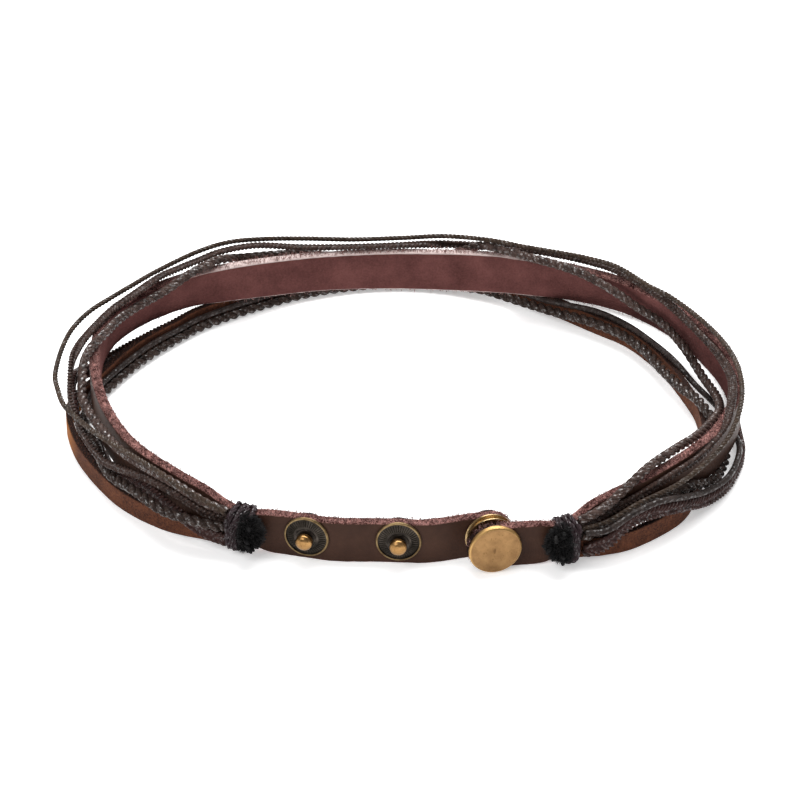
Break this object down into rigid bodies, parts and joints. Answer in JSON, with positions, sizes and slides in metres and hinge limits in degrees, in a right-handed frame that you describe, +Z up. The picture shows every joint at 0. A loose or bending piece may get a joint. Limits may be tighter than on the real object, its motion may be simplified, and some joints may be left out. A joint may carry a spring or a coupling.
{
  "type": "leather wrap bracelet",
  "caption": "Leather wrap bracelet with a main strap, a narrow suede strip, loose cords, thread lashings and a snap fastener.",
  "frame": {"origin": "on the floor under the middle of the leather straps", "axes": "+X across the loop to the right, +Y away from the fastened tabs, +Z up"},
  "size_m": [0.1347, 0.107, 0.0164],
  "materials": {
    "main_leather": "smooth dark brown face, red-brown suede back",
    "narrow_suede": "suede",
    "rope": "twisted, satin",
    "ribbon_braid": "braided, waxed",
    "thin_twist": "twisted",
    "beaded_cord": "beaded, waxed",
    "flat_braid": "herringbone, waxed",
    "smooth_cord": "waxed",
    "lashing_thread": "waxed thread",
    "cut_ends": "fuzzy",
    "stud_brass": "antique, satin",
    "dish_black": "blackened with a brass rim",
    "back_cap_black": "blackened",
    "cap_brass": "antique, brushed"
  },
  "bodies": {
    "root": {"main_strap": "main_leather", "narrow_strap": "narrow_suede", "rope_cord": "rope", "ribbon_cord": "ribbon_braid", "thin_cord": "thin_twist", "beaded_cord": "beaded_cord", "flat_braid": "flat_braid", "smooth_cord": "smooth_cord", "left_lashing": "lashing_thread", "right_lashing": "lashing_thread", "left_cut_ends": "cut_ends", "right_cut_ends": "cut_ends", "stud_1": "stud_brass", "stud_2": "stud_brass", "stud_3": "stud_brass", "dish_1": "dish_black", "dish_2": "dish_black", "dish_3": "dish_black", "back_cap_1": "back_cap_black", "back_cap_2": "back_cap_black", "back_cap_3": "back_cap_black", "snap_socket": "stud_brass", "snap_cap": "cap_brass"}
  },
  "joints": []
}
